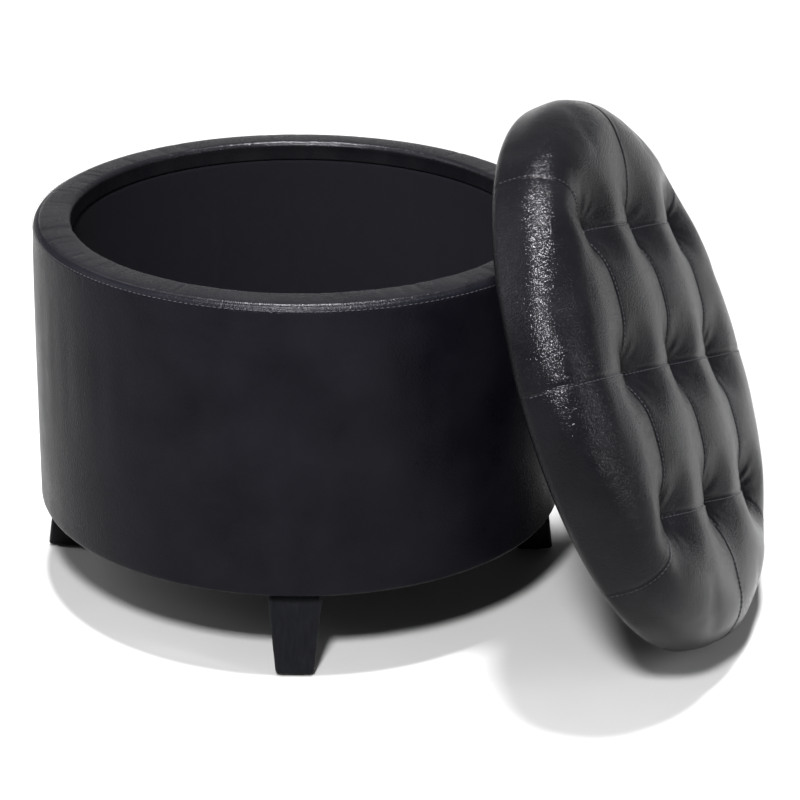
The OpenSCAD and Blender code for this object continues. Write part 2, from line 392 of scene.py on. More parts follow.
def new_piece(name, verts, faces, material, closed=True):
    """A smooth mesh object. A closed one gets its faces turned outwards."""
    mesh = bpy.data.meshes.new(name)
    mesh.from_pydata([tuple(map(float, v)) for v in verts], [], faces)
    mesh.validate()
    if closed:
        work = bmesh.new()
        work.from_mesh(mesh)
        bmesh.ops.recalc_face_normals(work, faces=work.faces)
        work.to_mesh(mesh)
        work.free()
    mesh.update()
    mesh.materials.append(material)
    mesh.shade_smooth()
    piece = bpy.data.objects.new(name, mesh)
    into_scene(piece)
    return piece


def stand_for(piece, body, slot, *nodes):
    """The piece rides on its body and replaces the CAD nodes. The slot is not used."""
    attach(piece, body)
    if nodes:
        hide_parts(*nodes)
    return piece


def arc(x, z, r, start, end, steps):
    """Points of an arc about (x, z), angles in radians."""
    angles = np.linspace(start, end, steps + 1)
    return [(x + r * math.cos(a), z + r * math.sin(a)) for a in angles]


def evenly(points, step):
    """An open outline with points added so that none are further apart than step."""
    out = [points[0]]
    for a, b in zip(points, points[1:]):
        count = max(1, math.ceil(math.dist(a, b) / step))
        out += [(a[0] + (b[0] - a[0]) * i / count, a[1] + (b[1] - a[1]) * i / count)
                for i in range(1, count + 1)]
    return out


def normals_of(profile):
    """Unit normals of a profile, to the left of its direction of travel."""
    p = np.array(profile)
    t = np.gradient(p, axis=0)
    t /= np.maximum(np.linalg.norm(t, axis=1), 1e-9)[:, None]
    return np.column_stack([-t[:, 1], t[:, 0]])


def lathe(profile, segments, lift=None):
    """Points of a turned surface, a row for each profile point. lift(i, angles) moves row i along
    its normals."""
    normal = normals_of(profile)
    angles = np.linspace(0, TAU, segments, endpoint=False)
    rows = []
    for i, ((r, z), n) in enumerate(zip(profile, normal)):
        d = lift(i, angles) if lift else np.zeros(segments)
        radius, height = r + d * n[0], z + d * n[1]
        rows.append(np.column_stack([radius * np.cos(angles), radius * np.sin(angles), height]))
    return np.array(rows)


def strip_faces(rows, columns, start=0, flip=False, wrap=True):
    """Quads of a grid of rows by columns, closed round its columns if wrap."""
    faces = []
    for i in range(rows - 1):
        for j in range(columns if wrap else columns - 1):
            k = (j + 1) % columns
            quad = (start + i * columns + j, start + i * columns + k,
                    start + (i + 1) * columns + k, start + (i + 1) * columns + j)
            faces.append(quad[::-1] if flip else quad)
    return faces


def turned_shell(name, outer, thickness, segments, material, lift=None):
    """A closed turned sheet: the outer profile with its lift, and the same profile set back."""
    surface = lathe(outer, segments, lift)
    back_profile = [tuple(p) for p in np.array(outer) - normals_of(outer) * thickness]
    back = lathe(back_profile, segments)
    rows = len(outer)
    verts = np.concatenate([surface.reshape(-1, 3), back.reshape(-1, 3)])
    faces = strip_faces(rows, segments)
    faces += strip_faces(rows, segments, rows * segments, flip=True)
    for edge, flip in ((0, True), (rows - 1, False)):
        a, b = edge * segments, (rows + edge) * segments
        for j in range(segments):
            k = (j + 1) % segments
            quad = (a + j, a + k, b + k, b + j)
            faces.append(quad[::-1] if flip else quad)
    return new_piece(name, verts, faces, material)


def smooth_noise(rng, angles, waves):
    """Periodic noise round the ring: a sum of sines with random phases, of about unit size."""
    total = np.zeros_like(angles)
    weight = 0.0
    for n in waves:
        amplitude = rng.uniform(0.4, 1.0) / n ** 0.5
        total += amplitude * np.sin(n * angles + rng.uniform(0, TAU))
        weight += amplitude ** 2
    return total / math.sqrt(weight / 2 + 1e-12) * 0.7


def turned_away(angles, turn):
    """How far round the ring each angle is from a turn, either way."""
    return np.abs((angles - turn + math.pi) % TAU - math.pi)


def stitch_row(name, pairs, normals, length, width, material):
    """One small rounded stitch at the middle of every pair of points along a seam."""
    sides, rings = 6, 5
    verts, faces = [], []
    for (a, b), n in zip(pairs, normals):
        a, b, n = Vector(a), Vector(b), Vector(n).normalized()
        along = (b - a).normalized()
        middle = (a + b) / 2
        side = along.cross(n).normalized()
        base = len(verts)
        for i in range(rings):
            t = i / (rings - 1) * 2 - 1
            swell = math.sqrt(max(0.0, 1 - t * t)) * 0.75 + 0.25
            rise = width * 0.45 * (1 - t * t) - width * 0.1
            centre = middle + along * (t * length / 2) + n * rise
            for j in range(sides):
                angle = TAU * j / sides
                offset = side * math.cos(angle) + n * math.sin(angle)
                verts.append(centre + offset * (width / 2 * swell))
        faces += [tuple(base + i * sides + x for x in (j, (j + 1) % sides, sides + (j + 1) % sides,
                                                       sides + j))
                  for i in range(rings - 1) for j in range(sides)]
        faces.append(tuple(base + j for j in reversed(range(sides))))
        faces.append(tuple(base + (rings - 1) * sides + j for j in range(sides)))
    return new_piece(name, verts, faces, material)


# ---------------------------------------------------------------- tub


def edge_centre():
    return BODY_R - RIM_ROUND, RIM_Z - RIM_ROUND


def wall_profile():
    """Outside of the side cover, from under the floor up to the seam on the rim's outer edge."""
    x, z = edge_centre()
    bottom = 4 * MM
    points = [(LIP_R, BODY_LOW_Z)]
    points += arc(BODY_R - bottom, BODY_LOW_Z + bottom, bottom, -math.pi / 2, 0, 5)
    points += arc(x, z, RIM_ROUND, 0, SEAM_ANGLE, 14)
    return evenly(points, 6 * MM)


def rim_profile():
    """Rim band from its lower edge inside the tub, up and over the rim to the seam."""
    x, z = edge_centre()
    inner_x, inner_z = INNER_R + RIM_INNER_ROUND, RIM_Z - RIM_INNER_ROUND
    points = [(INNER_R, RIM_LOW_Z)]
    points += arc(inner_x, inner_z, RIM_INNER_ROUND, math.pi, math.pi / 2, 9)
    points += arc(x, z, RIM_ROUND, math.pi / 2, SEAM_ANGLE, 4)
    return evenly(points, 1.6 * MM)


def outline_length(profile):
    """Distance along a profile to each of its points."""
    p = np.array(profile)
    return np.concatenate([[0], np.cumsum(np.linalg.norm(np.diff(p, axis=0), axis=1))])


def make_wall_cover():
    """Side cover: smooth over thin foam, drawn in at the seam and along the topstitching."""
    profile = wall_profile()[::-1]
    run = outline_length(profile)
    rng = np.random.default_rng(11)
    segments = 720
    angles = np.linspace(0, TAU, segments, endpoint=False)
    slow = smooth_noise(rng, angles, [2, 3, 5, 7, 11])
    ripple = smooth_noise(rng, angles, [19, 31, 43, 59])
    pucker = smooth_noise(rng, angles, [90, 123, 157, 181])
    sway_phase, ripple_phase = rng.uniform(0, TAU, 2)
    join = turned_away(angles, WALL_JOIN_TURN) * BODY_R
    slow_size, ripple_size, pucker_size = 0.6 * MM, 0.22 * MM, 0.16 * MM
    seam_draw, seam_reach = 1.5 * MM, 1.6 * MM
    shoulder_draw, shoulder_reach = 2.2 * MM, 20 * MM
    stitch_draw, stitch_reach, pucker_reach = 0.55 * MM, 1.3 * MM, 7 * MM
    join_draw, join_reach = 0.9 * MM, 1.2 * MM

    def lift(i, _):
        s = run[i]
        height = (RIM_Z - profile[i][1]) / (RIM_Z - BODY_LOW_Z)
        middle = math.sin(math.pi * min(1, max(0, height)))
        drawn = seam_draw * math.exp(-s / seam_reach)
        drawn += shoulder_draw * math.exp(-s / shoulder_reach)
        drawn += stitch_draw * math.exp(-(((s - TOPSTITCH_DROP) / stitch_reach) ** 2))
        near = math.exp(-(((s - TOPSTITCH_DROP) / pucker_reach) ** 2))
        sway = slow_size * slow * math.cos(sway_phase + 2 * height)
        sway = sway + ripple_size * ripple * math.cos(ripple_phase + 4 * height)
        crease = join_draw * np.exp(-((join / join_reach) ** 2)) * min(1, middle * 4)
        return middle * sway - drawn + near * pucker * pucker_size - crease

    piece = turned_shell("wall_leather", profile, SHELL_T, segments, WALL_LEATHER, lift)
    stand_for(piece, "base", "wall_leather", "wall_cover")


def make_rim_cover():
    """Rim band: padded between its seam and the inner edge, with short radial wrinkles."""
    profile = rim_profile()
    run = outline_length(profile)
    run = run[-1] - run
    rng = np.random.default_rng(23)
    segments = 1080
    angles = np.linspace(0, TAU, segments, endpoint=False)
    puff = smooth_noise(rng, angles, [3, 5, 8, 13, 21])
    top_run = BODY_R - INNER_R
    crown_size, puff_size = 1.0 * MM, 0.35 * MM
    seam_draw, seam_reach = 1.6 * MM, 1.8 * MM
    wrinkles = [(rng.uniform(0, TAU), rng.uniform(2.0, 6.0) * MM, rng.uniform(0.08, 0.45) * MM,
                 rng.uniform(0.0, 1.0), rng.uniform(0.18, 0.6), rng.uniform(-0.9, 0.9))
                for _ in range(110)]

    def lift(i, _):
        s = run[i] / top_run
        crown = math.sin(math.pi * min(1, s)) ** 0.8 if s < 1 else 0
        d = crown * (crown_size + puff_size * puff) - seam_draw * math.exp(-run[i] / seam_reach)
        for angle, width, depth, centre, reach, skew in wrinkles:
            along = math.exp(-(((s - centre) / reach) ** 2))
            if along < 0.02 or s > 1.25:
                continue
            away = (angles - angle - skew * 0.02 * (s - centre) + math.pi) % TAU - math.pi
            d = d - depth * along * np.exp(-((away * BODY_R / width) ** 2))
        fade = min(1, max(0, (1.6 - s) / 0.4))
        return np.asarray(d) * fade

    piece = turned_shell("rim_leather", profile, SHELL_T, segments, RIM_LEATHER, lift)
    stand_for(piece, "base", "wall_leather", "rim_cover")


def make_rim_stitching():
    """Topstitching that runs round the outside a little below the rim's seam."""
    x, z = edge_centre()
    drop = TOPSTITCH_DROP / RIM_ROUND
    angle = SEAM_ANGLE - drop
    r, height = x + RIM_ROUND * math.cos(angle), z + RIM_ROUND * math.sin(angle)
    count, share = 300, 0.8
    turn = TAU / count
    pairs, normals = [], []
    for i in range(count):
        ends = [(r * math.cos(t), r * math.sin(t), height) for t in (i * turn, (i + share) * turn)]
        middle = (i + share / 2) * turn
        pairs.append(ends)
        normals.append((math.cos(angle) * math.cos(middle), math.cos(angle) * math.sin(middle),
                        math.sin(angle)))
    piece = stitch_row("rim_stitching", pairs, normals, 4.3 * MM, STITCH_W, BLACK_THREAD)
    stand_for(piece, "base", "wall_leather")


def make_tub_foam():
    """The wall's thin foam sheet and the foam on the rim, both under the leather."""
    wall_in, wall_out = ring_radii("wall_foam")
    low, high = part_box("wall_foam")
    segments, gap, unevenness = 240, 0.6 * MM, 0.1 * MM
    rng = np.random.default_rng(5)
    wave = smooth_noise(rng, np.linspace(0, TAU, segments, endpoint=False), [4, 9, 15])
    profile = evenly([(wall_out - gap, high[2]), (wall_out - gap, low[2])], 20 * MM)
    thickness = wall_out - wall_in - gap - unevenness
    sheet = turned_shell("wall_foam_sheet", profile, thickness, segments, FOAM,
                         lambda i, a: unevenness * wave)
    stand_for(sheet, "base", "foam", "wall_foam")
    x, z = edge_centre()
    inner_x, inner_z = INNER_R + RIM_INNER_ROUND, RIM_Z - RIM_INNER_ROUND
    inset = LEATHER_T + gap
    outline = [(LINING_R, HOOP_TOP_Z)]
    outline += arc(inner_x, inner_z, RIM_INNER_ROUND - inset, math.pi, math.pi / 2, 5)
    outline += arc(x, z, RIM_ROUND - inset, math.pi / 2, 0, 6)
    outline += [(BODY_R - inset, HOOP_TOP_Z)]
    outline = evenly(outline, 4 * MM)
    rows = lathe(outline, segments, lambda i, a: unevenness * wave)
    faces = strip_faces(len(outline), segments, flip=True)
    last = (len(outline) - 1) * segments
    faces += [(j, (j + 1) % segments, last + (j + 1) % segments, last + j) for j in range(segments)]
    rim = new_piece("rim_foam", rows.reshape(-1, 3), faces, FOAM)
    stand_for(rim, "base", "foam", "rim_padding")


def make_linings():
    """Glued fabric inside the tub: the wall with one upright join, and the floor."""
    rng = np.random.default_rng(31)
    segments = 480
    angles = np.linspace(0, TAU, segments, endpoint=False)
    slow = smooth_noise(rng, angles, [5, 8, 13, 21])
    fast = smooth_noise(rng, angles, [34, 55, 80])
    thickness = LINING_OUT_R - LINING_R
    profile = evenly([(LINING_R, FLOOR_LOW_Z), (LINING_R, HOOP_TOP_Z)], 8 * MM)
    join = turned_away(angles, LINING_JOIN_TURN) * LINING_R
    slow_size, fast_size, join_size, join_reach = 0.5 * MM, 0.18 * MM, 0.5 * MM, 3 * MM

    def lift(i, _):
        share = i / (len(profile) - 1)
        sway = slow_size * slow + fast_size * fast * math.cos(5 * share)
        return math.sin(math.pi * share) * (sway + join_size * np.exp(-((join / join_reach) ** 2)))

    wall = turned_shell("tub_lining", profile, thickness, segments, LINING, lift)
    stand_for(wall, "base", "lining_fabric", "wall_lining")
    radius = LINING_R - 0.6 * MM
    floor = disc_sheet("tub_floor_lining", radius, FLOOR_LOW_Z, FLOOR_TOP_Z, LINING, rng)
    stand_for(floor, "base", "lining_fabric", "floor_lining")


def disc_sheet(name, radius, low, high, material, rng, wave=0.35 * MM):
    """A closed round sheet, level, with a slightly uneven upper face."""
    segments, rings = 180, 40
    angles = np.linspace(0, TAU, segments, endpoint=False)
    waves = [(rng.uniform(8, 40), rng.uniform(8, 40), rng.uniform(0, TAU)) for _ in range(6)]
    verts = [(0, 0, high)]
    for i in range(1, rings + 1):
        r = radius * i / rings
        for a in angles:
            x, y = r * math.cos(a), r * math.sin(a)
            bump = sum(math.sin(kx * x + ky * y + p) for kx, ky, p in waves) / len(waves)
            verts.append((x, y, high + wave * bump * (1 - (i / rings) ** 4)))
    verts += [(radius * math.cos(a), radius * math.sin(a), low) for a in angles] + [(0, 0, low)]
    faces = [(0, 1 + j, 1 + (j + 1) % segments) for j in range(segments)]
    faces += strip_faces(rings + 1, segments, 1, flip=True)
    last = 1 + rings * segments
    faces += [(last + segments, last + (j + 1) % segments, last + j) for j in range(segments)]
    return new_piece(name, verts, faces, material)


def make_dust_cover():
    """Thin black cloth under the floor, cut out round the leg plates. It sags a little."""
    low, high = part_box("dust_cover")
    sag, sag_reach, cell = 1.6 * MM, 30 * MM, 12 * MM
    work = bmesh.new()
    work.from_mesh(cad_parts["dust_cover"].data)
    bmesh.ops.delete(work, geom=[f for f in work.faces if f.normal.z > -0.9], context="FACES")
    for axis in (0, 1):
        for place in np.arange(low[axis] + cell, high[axis], cell):
            normal = Vector((axis == 0, axis == 1, 0))
            bmesh.ops.bisect_plane(work, geom=work.verts[:] + work.edges[:] + work.faces[:],
                                   dist=1e-6, plane_co=normal * float(place), plane_no=normal)
    area = sum(face.calc_area() for face in work.faces)
    edge = np.array([v.co for v in work.verts if v.is_boundary])
    rng = np.random.default_rng(61)
    waves = [(rng.uniform(10, 45), rng.uniform(10, 45), rng.uniform(0, TAU)) for _ in range(6)]
    for v in work.verts:
        away = np.linalg.norm(edge - np.array(v.co), axis=1).min()
        ripple = sum(math.sin(kx * v.co.x + ky * v.co.y + p) for kx, ky, p in waves) / len(waves)
        v.co.z -= sag * (1 - math.exp(-away / sag_reach)) * (0.7 + 0.6 * ripple)
    bmesh.ops.solidify(work, geom=work.faces[:], thickness=-float(high[2] - low[2]))
    work.verts.index_update()
    verts = [tuple(v.co) for v in work.verts]
    faces = [tuple(v.index for v in face.verts) for face in work.faces]
    work.free()
    piece = new_piece("dust_cloth", verts, faces, DUST_CLOTH)
    stand_for(piece, "base", "dust_fabric", "dust_cover")


def make_staples():
    """Staples round the dust cover's edge, except at the legs."""
    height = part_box("dust_cover")[0][2]
    count, length, radius = 40, 10 * MM, LIP_R - 6 * MM
    leg_clearance = 50 * MM
    half_turn = length / 2 / radius
    pairs, normals = [], []
    for i in range(count):
        t = TAU * (i + 0.5) / count
        ends = [(radius * math.cos(t + turn), radius * math.sin(t + turn), height)
                for turn in (-half_turn, half_turn)]
        if all(np.linalg.norm(foot - np.array(ends[0][:2])) > leg_clearance for foot in leg_tops()):
            pairs.append(ends)
            normals.append((0, 0, -1))
    staples = stitch_row("dust_cover_staples", pairs, normals, length, 0.9 * MM, STEEL)
    stand_for(staples, "base", "steel")


def leg_tops():
    """Plan centres of the four legs where they meet the tub."""
    tops = []
    for node in LEG_NODES:
        points = node_points(node)
        top = points[points[:, 2] > points[:, 2].max() - 2 * MM]
        tops.append((top.min(axis=0) + top.max(axis=0))[:2] / 2)
    return tops


def make_leg(node):
    """A tapered, splayed leg with rounded arrises and a softened foot."""
    points = node_points(node)
    low, high = points[:, 2].min(), points[:, 2].max()
    middle = points.mean(axis=0)
    turn = math.atan2(middle[1], middle[0])
    out = np.array([math.cos(turn), math.sin(turn)])
    side = np.array([-math.sin(turn), math.cos(turn)])

    def section(z):
        level = np.abs(points[:, 2] - z) < 1.5 * MM
        near = points[level][:, :2] @ np.array([out, side]).T
        return near.min(axis=0), near.max(axis=0)

    top, foot = section(high), section(low)
    corner, edge, steps = 5 * MM, 2.2 * MM, 6
    heights = [(low + edge * (1 - math.cos(a)), -edge * (1 - math.sin(a)))
               for a in np.linspace(0, math.pi / 2, 5)]
    heights += [(z, 0) for z in np.linspace(low + 8 * MM, high, 9)]
    verts = []
    for z, grow in heights:
        share = (z - low) / (high - low)
        a = foot[0] + (top[0] - foot[0]) * share - grow
        b = foot[1] + (top[1] - foot[1]) * share + grow
        centre, half = (a + b) / 2, (b - a) / 2
        for quarter, (sx, sy) in enumerate(((1, 1), (-1, 1), (-1, -1), (1, -1))):
            for i in range(steps + 1):
                angle = (quarter + i / steps) * math.pi / 2
                u = centre[0] + sx * (half[0] - corner) + corner * math.cos(angle)
                v = centre[1] + sy * (half[1] - corner) + corner * math.sin(angle)
                verts.append((*(out * u + side * v), z))
    columns = 4 * (steps + 1)
    faces = strip_faces(len(heights), columns)
    faces.append(tuple(reversed(range(columns))))
    faces.append(tuple(range((len(heights) - 1) * columns, len(heights) * columns)))
    piece = new_piece(node + "_shaped", verts, faces, LEG_PAINT)
    stand_for(piece, "base", "leg_wood", node)


# ---------------------------------------------------------------- lid


def bun_profile():
    """The lid's half profile from the crown's centre out, down its side and in under the board."""
    shoulder = LID_T - LID_SIDE_H - LID_CROWN
    flat = LID_R - shoulder
    crown = [(flat * k, LID_T - LID_CROWN * k * k) for k in np.linspace(0, 1, 24)]
    side = arc(flat, LID_SIDE_H, shoulder, math.pi / 2, 0, 16)
    low = arc(LID_R - LID_LOW_ROUND, LID_LOW_ROUND, LID_LOW_ROUND, 0, -math.pi / 2, 8)
    return crown[:-1] + side + low + [(LID_LIP_R, 0)]


def lid_sheet():
    """The lid's leather as one square grid wrapped over the bun. Its inner square lies between the
    outer tufts, and the rest fans out to the edge, so that every seam runs along mesh edges.
    Returns local positions, outward normals and plan coordinates in the tuft grid."""
    profile = np.array(bun_profile())
    run = outline_length(profile)
    half = INNER_CELLS + OUTER_CELLS
    side = np.arange(-half, half + 1, dtype=float)
    u, v = np.meshgrid(side, side, indexing="ij")
    swap = np.abs(u) < np.abs(v)
    major, minor = np.where(swap, v, u), np.where(swap, u, v)
    ratio = np.divide(minor, major, out=np.zeros_like(minor), where=np.abs(major) > 0)
    inside = np.minimum(np.abs(major) / INNER_CELLS, 1)
    beyond = np.maximum(0, np.abs(major) - INNER_CELLS) / OUTER_CELLS
    start = PITCH * inside * np.hypot(1, ratio)
    s = start + (run[-1] - start) * beyond
    turn = np.arctan(ratio) * (1 - beyond) + ratio * math.pi / 4 * beyond
    angle = np.where(swap, math.pi / 2 - turn, turn) + np.where(major < 0, math.pi, 0)
    r, z = np.interp(s, run, profile[:, 0]), np.interp(s, run, profile[:, 1])
    n = normals_of(profile)
    n_r, n_z = np.interp(s, run, n[:, 0]), np.interp(s, run, n[:, 1])
    length = np.hypot(n_r, n_z)
    grid = np.stack([r * np.cos(angle), r * np.sin(angle)], axis=-1)
    world = angle + TUFT_TURN
    position = np.stack([r * np.cos(world), r * np.sin(world), z], axis=-1)
    normal = np.stack([n_r * np.cos(world), n_r * np.sin(world), n_z], axis=-1) / length[..., None]
    return position, normal, grid


def lid_seams():
    """Every sewn seam in the tuft grid: start, end, and whether it runs out to the edge."""
    seams = []
    for k in (-1, 0, 1):
        for j in (-1, 0):
            seams.append(((k, j), (k, j + 1), False))
            seams.append(((j, k), (j + 1, k), False))
    for i, j in ((1, 0), (1, 1), (0, 1), (-1, 1), (-1, 0), (-1, -1), (0, -1), (1, -1)):
        seams.append(((i, j), (3 * i, 3 * j), True))
    return [(np.array(a) * PITCH, np.array(b) * PITCH, outer) for a, b, outer in seams]


def seam_distance(grid, start, end):
    """Distance to a seam, and the distance along it from its start."""
    way = (end - start) / np.linalg.norm(end - start)
    along = (grid - start) @ way
    along = np.clip(along, 0, np.linalg.norm(end - start))
    return np.linalg.norm(grid - start - along[..., None] * way, axis=-1), along


def seam_depth(start, end, outer, along):
    """Depth of a seam: deepest where it meets a tuft, shallow between, fading to the edge."""
    across_slope = abs(end[1] - start[1]) > abs(end[0] - start[0])
    between, deep, edge = (1.8 if across_slope else 5.0) * MM, 29 * MM, 0.8 * MM
    bowl, bowl_reach, pit, pit_reach = 0.68, 31 * MM, 0.32, 9 * MM
    near = along if outer else np.minimum(along, PITCH - along)
    rest = edge if outer else between
    return rest + (deep - rest) * (bowl * np.exp(-((near / bowl_reach) ** 2))
                                   + pit * np.exp(-near / pit_reach))


def tuft_depth(grid):
    """How far the leather is drawn in: pillows between the seams, pits at the tufts."""
    total = np.zeros(grid.shape[:2])
    fullness, merge = 0.85, 6
    for start, end, outer in lid_seams():
        distance, along = seam_distance(grid, start, end)
        share = 1 - np.clip(distance / (0.5 * PITCH), 0, 1)
        valley = (1 - np.sqrt(1 - share ** 2)) ** fullness
        total += (seam_depth(start, end, outer, along) * valley) ** merge
    return total ** (1 / merge)


def tuft_folds(grid, rng):
    """Short folds that radiate from every tuft."""
    total = np.zeros(grid.shape[:2])
    ring, reach = 17 * MM, 13 * MM
    for i in (-1, 0, 1):
        for j in (-1, 0, 1):
            dx, dy = grid[..., 0] - i * PITCH, grid[..., 1] - j * PITCH
            d = np.hypot(dx, dy)
            a = np.arctan2(dy, dx)
            folds = sum(rng.uniform(0.4, 1.0) * np.cos(n * a + rng.uniform(0, TAU))
                        for n in (5, 8, 11, 14))
            total += folds * np.exp(-((d - ring) / reach) ** 2)
    return total


def evened(field, passes):
    """A grid of vectors, smoothed by averaging each place with its neighbours."""
    for _ in range(passes):
        wide = np.pad(field, ((1, 1), (1, 1), (0, 0)), mode="edge")
        around = wide[:-2, 1:-1] + wide[2:, 1:-1] + wide[1:-1, :-2] + wide[1:-1, 2:]
        field = (around + 4 * field) / 8
    return field


def relax_as_cloth(piece, pins, wrinkled, frames=20, cap=9 * MM):
    """Blows the leather up as cloth, held by its pins, with no point moved past the cap. Wrinkles
    are kept in the share given for each vertex and evened out elsewhere, as on taut leather."""
    mesh = piece.data
    start = mesh_array(piece)
    group = piece.vertex_groups.new(name="held")
    for weight in np.unique(np.round(pins, 2)):
        if weight > 0:
            members = np.nonzero(np.round(pins, 2) == weight)[0]
            group.add([int(m) for m in members], float(weight), "REPLACE")
    cloth_modifier = piece.modifiers.new("cloth", "CLOTH")
    settings = cloth_modifier.settings
    settings.quality = 6
    settings.mass = 0.3
    settings.tension_stiffness = 20
    settings.compression_stiffness = 20
    settings.shear_stiffness = 12
    settings.bending_stiffness = 0.9
    settings.use_pressure = True
    settings.uniform_pressure_force = 6
    settings.vertex_group_mass = "held"
    settings.pin_stiffness = 1.0
    settings.shrink_min = -0.012
    settings.effector_weights.gravity = 0
    cloth_modifier.collision_settings.use_collision = False
    scene = bpy.context.scene
    for step in range(1, frames + 1):
        scene.frame_set(step)
    evaluated = piece.evaluated_get(bpy.context.evaluated_depsgraph_get()).data
    moved = np.empty(len(mesh.vertices) * 3)
    evaluated.vertices.foreach_get("co", moved)
    piece.modifiers.remove(cloth_modifier)
    scene.frame_set(1)
    travel = moved.reshape(-1, 3) - start
    distance = np.linalg.norm(travel, axis=1)
    travel *= (cap * np.tanh(distance / cap) / np.maximum(distance, 1e-9))[:, None]
    side = round(math.sqrt(len(travel)))
    even = evened(travel.reshape(side, side, 3), 24).reshape(-1, 3)
    set_mesh_array(piece, start + even + (travel - even) * wrinkled[:, None])


def subdivided(piece):
    """Applies one level of subdivision."""
    modifier = piece.modifiers.new("finer", "SUBSURF")
    modifier.levels = modifier.render_levels = 1
    evaluated = piece.evaluated_get(bpy.context.evaluated_depsgraph_get())
    mesh = bpy.data.meshes.new_from_object(evaluated)
    piece.modifiers.remove(modifier)
    old = piece.data
    piece.data = mesh
    bpy.data.meshes.remove(old)
    mesh.name = piece.name


def mesh_array(piece, kind="co"):
    mesh = piece.data
    flat = np.empty(len(mesh.vertices) * 3)
    mesh.vertices.foreach_get(kind, flat)
    return flat.reshape(-1, 3)


def set_mesh_array(piece, points):
    piece.data.vertices.foreach_set("co", np.asarray(points, float).ravel())
    piece.data.update()


def sew_lid(piece):
    """Presses the sewn creases into the finished leather and keeps it off the floor."""
    crease_depth, crease_width, floor_gap = 0.9 * MM, 1.3 * MM, 0.3 * MM
    distance = np.empty(len(piece.data.vertices))
    piece.data.attributes["seam"].data.foreach_get("value", distance)
    points = mesh_array(piece)
    above = lid_local(points)[:, 2] > 2 * MM
    crease = crease_depth * np.exp(-((distance / crease_width) ** 2)) * above
    points = points - mesh_array(piece, "normal") * crease[:, None]
    points[:, 2] = np.maximum(points[:, 2], floor_gap)
    set_mesh_array(piece, points)


def make_lid():
    """The tufted cushion: drawn in at nine tufts, blown up as cloth, then sewn."""
    position, normal, grid = lid_sheet()
    rng = np.random.default_rng(7)
    fold_size, plain_h, foam_inset = 0.8 * MM, 4 * MM, 2.5 * MM
    seam_hold, tuft_hold, hem_hold, fold_reach = 2 * MM, 7 * MM, 9 * MM, 26 * MM
    top = np.clip((position[..., 2] - plain_h) / (LID_SIDE_H - plain_h), 0, 1)
    depth = (tuft_depth(grid) - fold_size * tuft_folds(grid, rng)) * top
    points = lid_world((position - normal * depth[..., None]).reshape(-1, 3))
    side = grid.shape[0]
    faces = strip_faces(side, side, flip=True, wrap=False)
    piece = new_piece("lid_cushion", points, faces, LID_LEATHER, closed=False)
    seam = np.min([seam_distance(grid, a, b)[0] for a, b, _ in lid_seams()], axis=0).ravel()
    piece.data.attributes.new("seam", "FLOAT", "POINT").data.foreach_set("value", seam)
    steps = np.rint(grid / PITCH).clip(-1, 1) * PITCH
    tuft = np.linalg.norm(grid - steps, axis=-1).ravel()
    hem = position[..., 2].ravel() < hem_hold
    pins = np.where(seam < seam_hold, 0.25, 0.0)
    pins = np.where((tuft < tuft_hold) | hem, 1.0, pins)
    relax_as_cloth(piece, pins, 0.06 + 0.5 * np.exp(-((tuft / fold_reach) ** 2)))
    coarse = mesh_array(piece).reshape(side, side, 3)
    foam_piece = piece.copy()
    foam_piece.data = piece.data.copy()
    foam_piece.name = foam_piece.data.name = "lid_foam_bun"
    into_scene(foam_piece)
    foam_normals = mesh_array(foam_piece, "normal")
    set_mesh_array(foam_piece, mesh_array(foam_piece) - foam_normals * foam_inset)
    foam_piece.data.materials[0] = FOAM
    stand_for(foam_piece, "lid", "foam", "lid_foam")
    subdivided(piece)
    sew_lid(piece)
    stand_for(piece, "lid", "lid_leather", "lid_cover")
    return piece, coarse


def seam_lines():
    """Every seam as grid places of the lid's sheet, with the side its topstitching is on."""
    half, inner = INNER_CELLS + OUTER_CELLS, INNER_CELLS
    full = range(2 * half + 1)
    middle = range(half - inner, half + inner + 1)
    lines = [([(half, j) for j in full], (1, 0)), ([(i, half) for i in full], (0, 1))]
    for k in (half - inner, half + inner):
        lines += [([(k, j) for j in middle], (1, 0)), ([(i, k) for i in middle], (0, 1))]
    for x, y in ((1, 1), (1, -1), (-1, 1), (-1, -1)):
        lines.append(([(half + x * k, half + y * k) for k in range(inner, half + 1)], (0, -y)))
    return lines


def make_lid_stitching(cushion, coarse):
    """Topstitching just beside every seam of the lid."""
    offset, pitch, span, lowest = 3.2 * MM, 5 * MM, 4 * MM, 10 * MM
    mesh = cushion.data
    tree = BVHTree.FromPolygons([v.co for v in mesh.vertices],
                                [tuple(p.vertices) for p in mesh.polygons])
    pairs, normals = [], []
    for places, (di, dj) in seam_lines():
        path = []
        for i, j in places:
            here, beside = coarse[i, j], coarse[i + di, j + dj]
            way = (beside - here) / np.linalg.norm(beside - here)
            place, n, _, _ = tree.find_nearest(Vector(here + way * offset))
            if lid_local([place])[0][2] > lowest:
                path.append((np.array(place), n))
        run = outline_length([p for p, _ in path])
        points = np.array([p for p, _ in path])
        for first in np.arange(span / 2, run[-1] - span, pitch):
            pairs.append([[np.interp(t, run, points[:, k]) for k in range(3)]
                          for t in (first, first + span)])
            normals.append(path[int(np.searchsorted(run, first + span / 2))][1])
    piece = stitch_row("lid_stitching", pairs, normals, 3.6 * MM, STITCH_W, BLACK_THREAD)
    stand_for(piece, "lid", "lid_leather")


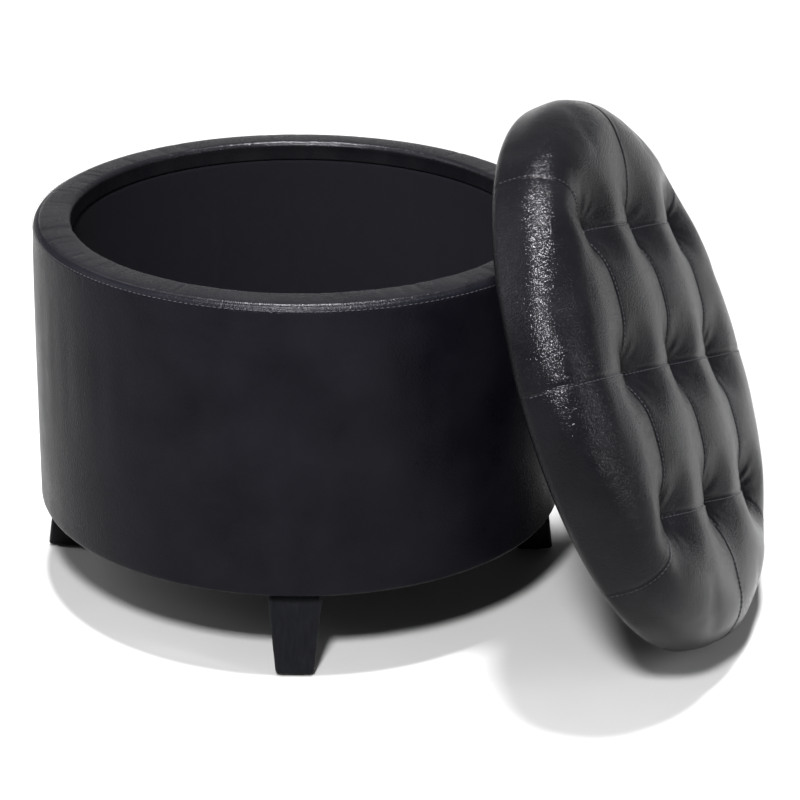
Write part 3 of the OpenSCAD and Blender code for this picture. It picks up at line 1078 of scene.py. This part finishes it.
def make_lid_lining():
    """Fabric under the lid's board, tucked in at its edge."""
    lining = lid_local(node_points("lid_lining"))
    radius = np.hypot(lining[:, 0], lining[:, 1]).max()
    low, high = lining[:, 2].min(), lining[:, 2].max()
    rng = np.random.default_rng(41)
    piece = disc_sheet("lid_under_lining", radius, high, low, LINING, rng, wave=0.2 * MM)
    set_mesh_array(piece, lid_world(mesh_array(piece)))
    piece.data.flip_normals()
    stand_for(piece, "lid", "lining_fabric", "lid_lining")


# ---------------------------------------------------------------- studio


def make_studio():
    """A pale floor that curves up behind the object, and the lights."""
    half, depth, wall, sweep = 20.0, 7.0, 4.0, 1.5
    profile = [(-half, 0)] + [(depth - sweep + sweep * math.sin(a), sweep - sweep * math.cos(a))
                              for a in np.linspace(0, math.pi / 2, 16)] + [(depth, wall)]
    verts = [(x, y, z) for y, z in profile for x in (-half, half)]
    faces = [(2 * i, 2 * i + 1, 2 * i + 3, 2 * i + 2) for i in range(len(profile) - 1)]
    new_piece("studio_floor", verts, faces, floor_paint("studio_floor"), closed=False)
    world = bpy.data.worlds.new("studio")
    world.use_nodes = True
    world.node_tree.nodes["Background"].inputs["Color"].default_value = (1, 1, 1, 1)
    world.node_tree.nodes["Background"].inputs["Strength"].default_value = 0.3
    bpy.context.scene.world = world
    bpy.context.scene.view_settings.view_transform = "Standard"
    soft_box("left_box", (-2.2, -0.2, 1.7), (0, 0, 0.3), 1.2, 2.0, 40)
    soft_sun("top_sun", math.radians(8), 13.5)
    soft_box("front_box", (-0.2, -1.9, 1.95), (0.25, -0.3, 0.4), 0.30, 0.30, 215)
    soft_box("right_strip", (2.15, -1.35, 1.2), (0.3, -0.35, 0.4), 0.2, 1.4, 40)
    soft_box("back_wash", (0, 4.0, 3.0), (0, 7.0, 2.0), 4.0, 1.5, 90)


def soft_sun(name, spread, strength):
    """Soft light straight down, which keeps the whole floor pale."""
    light = bpy.data.lights.new(name, "SUN")
    light.angle = spread
    light.energy = strength
    into_scene(bpy.data.objects.new(name, light))


def soft_box(name, place, target, width, height, power):
    light = bpy.data.lights.new(name, "AREA")
    light.shape = "RECTANGLE"
    light.size, light.size_y = width, height
    light.energy = power
    lamp = bpy.data.objects.new(name, light)
    lamp.location = place
    lamp.rotation_euler = (Vector(target) - Vector(place)).to_track_quat("-Z", "Y").to_euler()
    into_scene(lamp)


def make_camera():
    """The viewpoint: a long lens, a little right of the tub's axis, looking down."""
    data = bpy.data.cameras.new("camera")
    data.sensor_width = 36
    data.lens = 124.4
    camera = bpy.data.objects.new("camera", data)
    camera.location = (0.381 * BODY_R, -9.795 * BODY_R, 4.793 * BODY_R)
    look_down, roll = math.radians(22.82), math.radians(0.92)
    aim = Matrix.Rotation(math.pi / 2 - look_down, 4, "X") @ Matrix.Rotation(roll, 4, "Z")
    camera.rotation_euler = aim.to_euler()
    into_scene(camera)
    bpy.context.scene.camera = camera


# ---------------------------------------------------------------- build

make_camera()
make_studio()
paint_cad_nodes()
make_wall_cover()
make_rim_cover()
make_rim_stitching()
make_tub_foam()
make_linings()
make_dust_cover()
make_staples()
for leg_node in LEG_NODES:
    make_leg(leg_node)
make_lid_stitching(*make_lid())
make_lid_lining()
